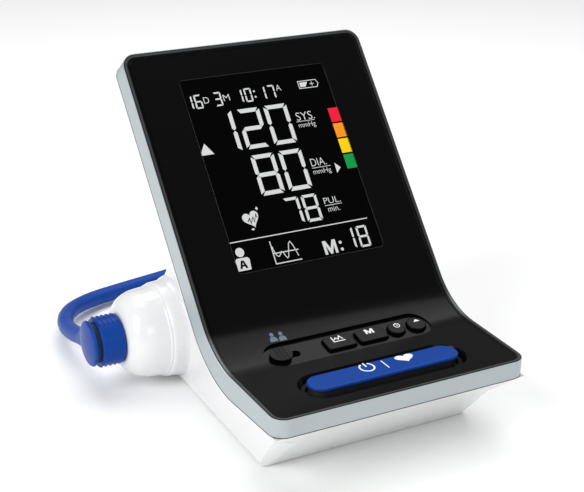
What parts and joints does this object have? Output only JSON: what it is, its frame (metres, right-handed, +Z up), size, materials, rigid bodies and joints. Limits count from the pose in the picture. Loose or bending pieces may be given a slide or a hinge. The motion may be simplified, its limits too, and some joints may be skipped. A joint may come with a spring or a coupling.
{
  "type": "arm blood pressure monitor",
  "caption": "Desk blood pressure monitor with raked display panel, blue start bar, small keys and a blue air hose that plugs into a rounded port on its left side.",
  "frame": {"origin": "on the table, under the middle of the monitor without its hose", "axes": "+X to the right across the panel, +Y from the front lip to the back, +Z up"},
  "size_m": [0.1601, 0.2148, 0.1319],
  "materials": {
    "silver_paint": "satin silver paint over moulded plastic",
    "black_gloss": "polished black plastic",
    "smoked_window": "smoked polished window",
    "white_gloss": "glossy white plastic",
    "blue_gloss": "glossy royal blue plastic",
    "blue_hose": "smooth blue rubber",
    "grey_key": "black satin key plastic",
    "lcd_glass": "dark liquid crystal cell",
    "inner_plastic": "plain white moulding",
    "board_green": "green circuit board",
    "dark_part": "black component plastic",
    "steel": "bright zinc plated steel",
    "brass_contact": "nickelled brass",
    "cell_jacket": "plain printed cell jacket",
    "seal_rubber": "black rubber",
    "clear_silicone": "milky silicone tube",
    "tie_plastic": "plain white strap"
  },
  "bodies": {
    "base": {"trim_ring": "silver_paint", "bezel_frame": "silver_paint", "front_cover": "black_gloss", "display_lens": "smoked_window", "lcd_panel": "lcd_glass", "lcd_backlight": "inner_plastic", "lcd_holder": "inner_plastic", "main_board": "board_green", "pressure_sensor": "dark_part", "buzzer": "dark_part", "key_board": "board_green", "tact_switches": "dark_part", "slide_switch": "steel", "board_screws": "steel", "rear_housing": "white_gloss", "case_screws": "steel", "port_dome": "white_gloss", "port_socket": "inner_plastic", "port_seal": "seal_rubber", "socket_plate": "inner_plastic", "battery_tray": "inner_plastic", "battery_cells": "cell_jacket", "battery_contacts": "brass_contact", "pump_motor": "steel", "pump_head": "dark_part", "pump_clamp": "inner_plastic", "release_valve": "dark_part", "tube_junction": "inner_plastic", "air_tubes": "clear_silicone"},
    "start_button": {"start_button": "blue_gloss", "start_carrier": "dark_part"},
    "graph_button": {"graph_button": "grey_key"},
    "memory_button": {"memory_button": "grey_key"},
    "clock_button": {"clock_button": "grey_key"},
    "alarm_button": {"alarm_button": "grey_key"},
    "user_switch": {"user_switch": "grey_key"},
    "battery_door": {"battery_door": "white_gloss"},
    "air_plug": {"plug_nozzle": "blue_gloss", "plug_grip": "blue_gloss", "plug_cap": "blue_gloss", "plug_ring": "seal_rubber", "hose_tube": "blue_hose", "hose_coil": "blue_hose", "hose_tie": "tie_plastic", "hose_tail": "blue_hose", "cuff_connector": "blue_gloss"}
  },
  "joints": [
    {"name": "start_press", "type": "slide", "parent": "base", "child": "start_button", "axis": [0, 0.0706, -0.9975], "range_m": [0, 0.001], "stiffness_N_per_m": 1500},
    {"name": "graph_press", "type": "slide", "parent": "base", "child": "graph_button", "axis": [0, 0.2525, -0.9676], "range_m": [0, 0.0006], "stiffness_N_per_m": 1200},
    {"name": "memory_press", "type": "slide", "parent": "base", "child": "memory_button", "axis": [0, 0.2525, -0.9676], "range_m": [0, 0.0006], "stiffness_N_per_m": 1200},
    {"name": "clock_press", "type": "slide", "parent": "base", "child": "clock_button", "axis": [0, 0.2525, -0.9676], "range_m": [0, 0.0006], "stiffness_N_per_m": 1200},
    {"name": "alarm_press", "type": "slide", "parent": "base", "child": "alarm_button", "axis": [0, 0.2525, -0.9676], "range_m": [0, 0.0006], "stiffness_N_per_m": 1200},
    {"name": "user_switch_slide", "type": "slide", "parent": "base", "child": "user_switch", "axis": [1, 0, 0], "range_m": [0, 0.006]},
    {"name": "battery_door_hinge", "type": "hinge", "parent": "base", "child": "battery_door", "pos_m": [0.0052, -0.036, 0.00145], "axis": [-1, 0, 0], "range_deg": [0, 85]},
    {"name": "plug_pull", "type": "slide", "parent": "base", "child": "air_plug", "axis": [-1, 0, 0], "range_m": [0, 0.017]}
  ]
}
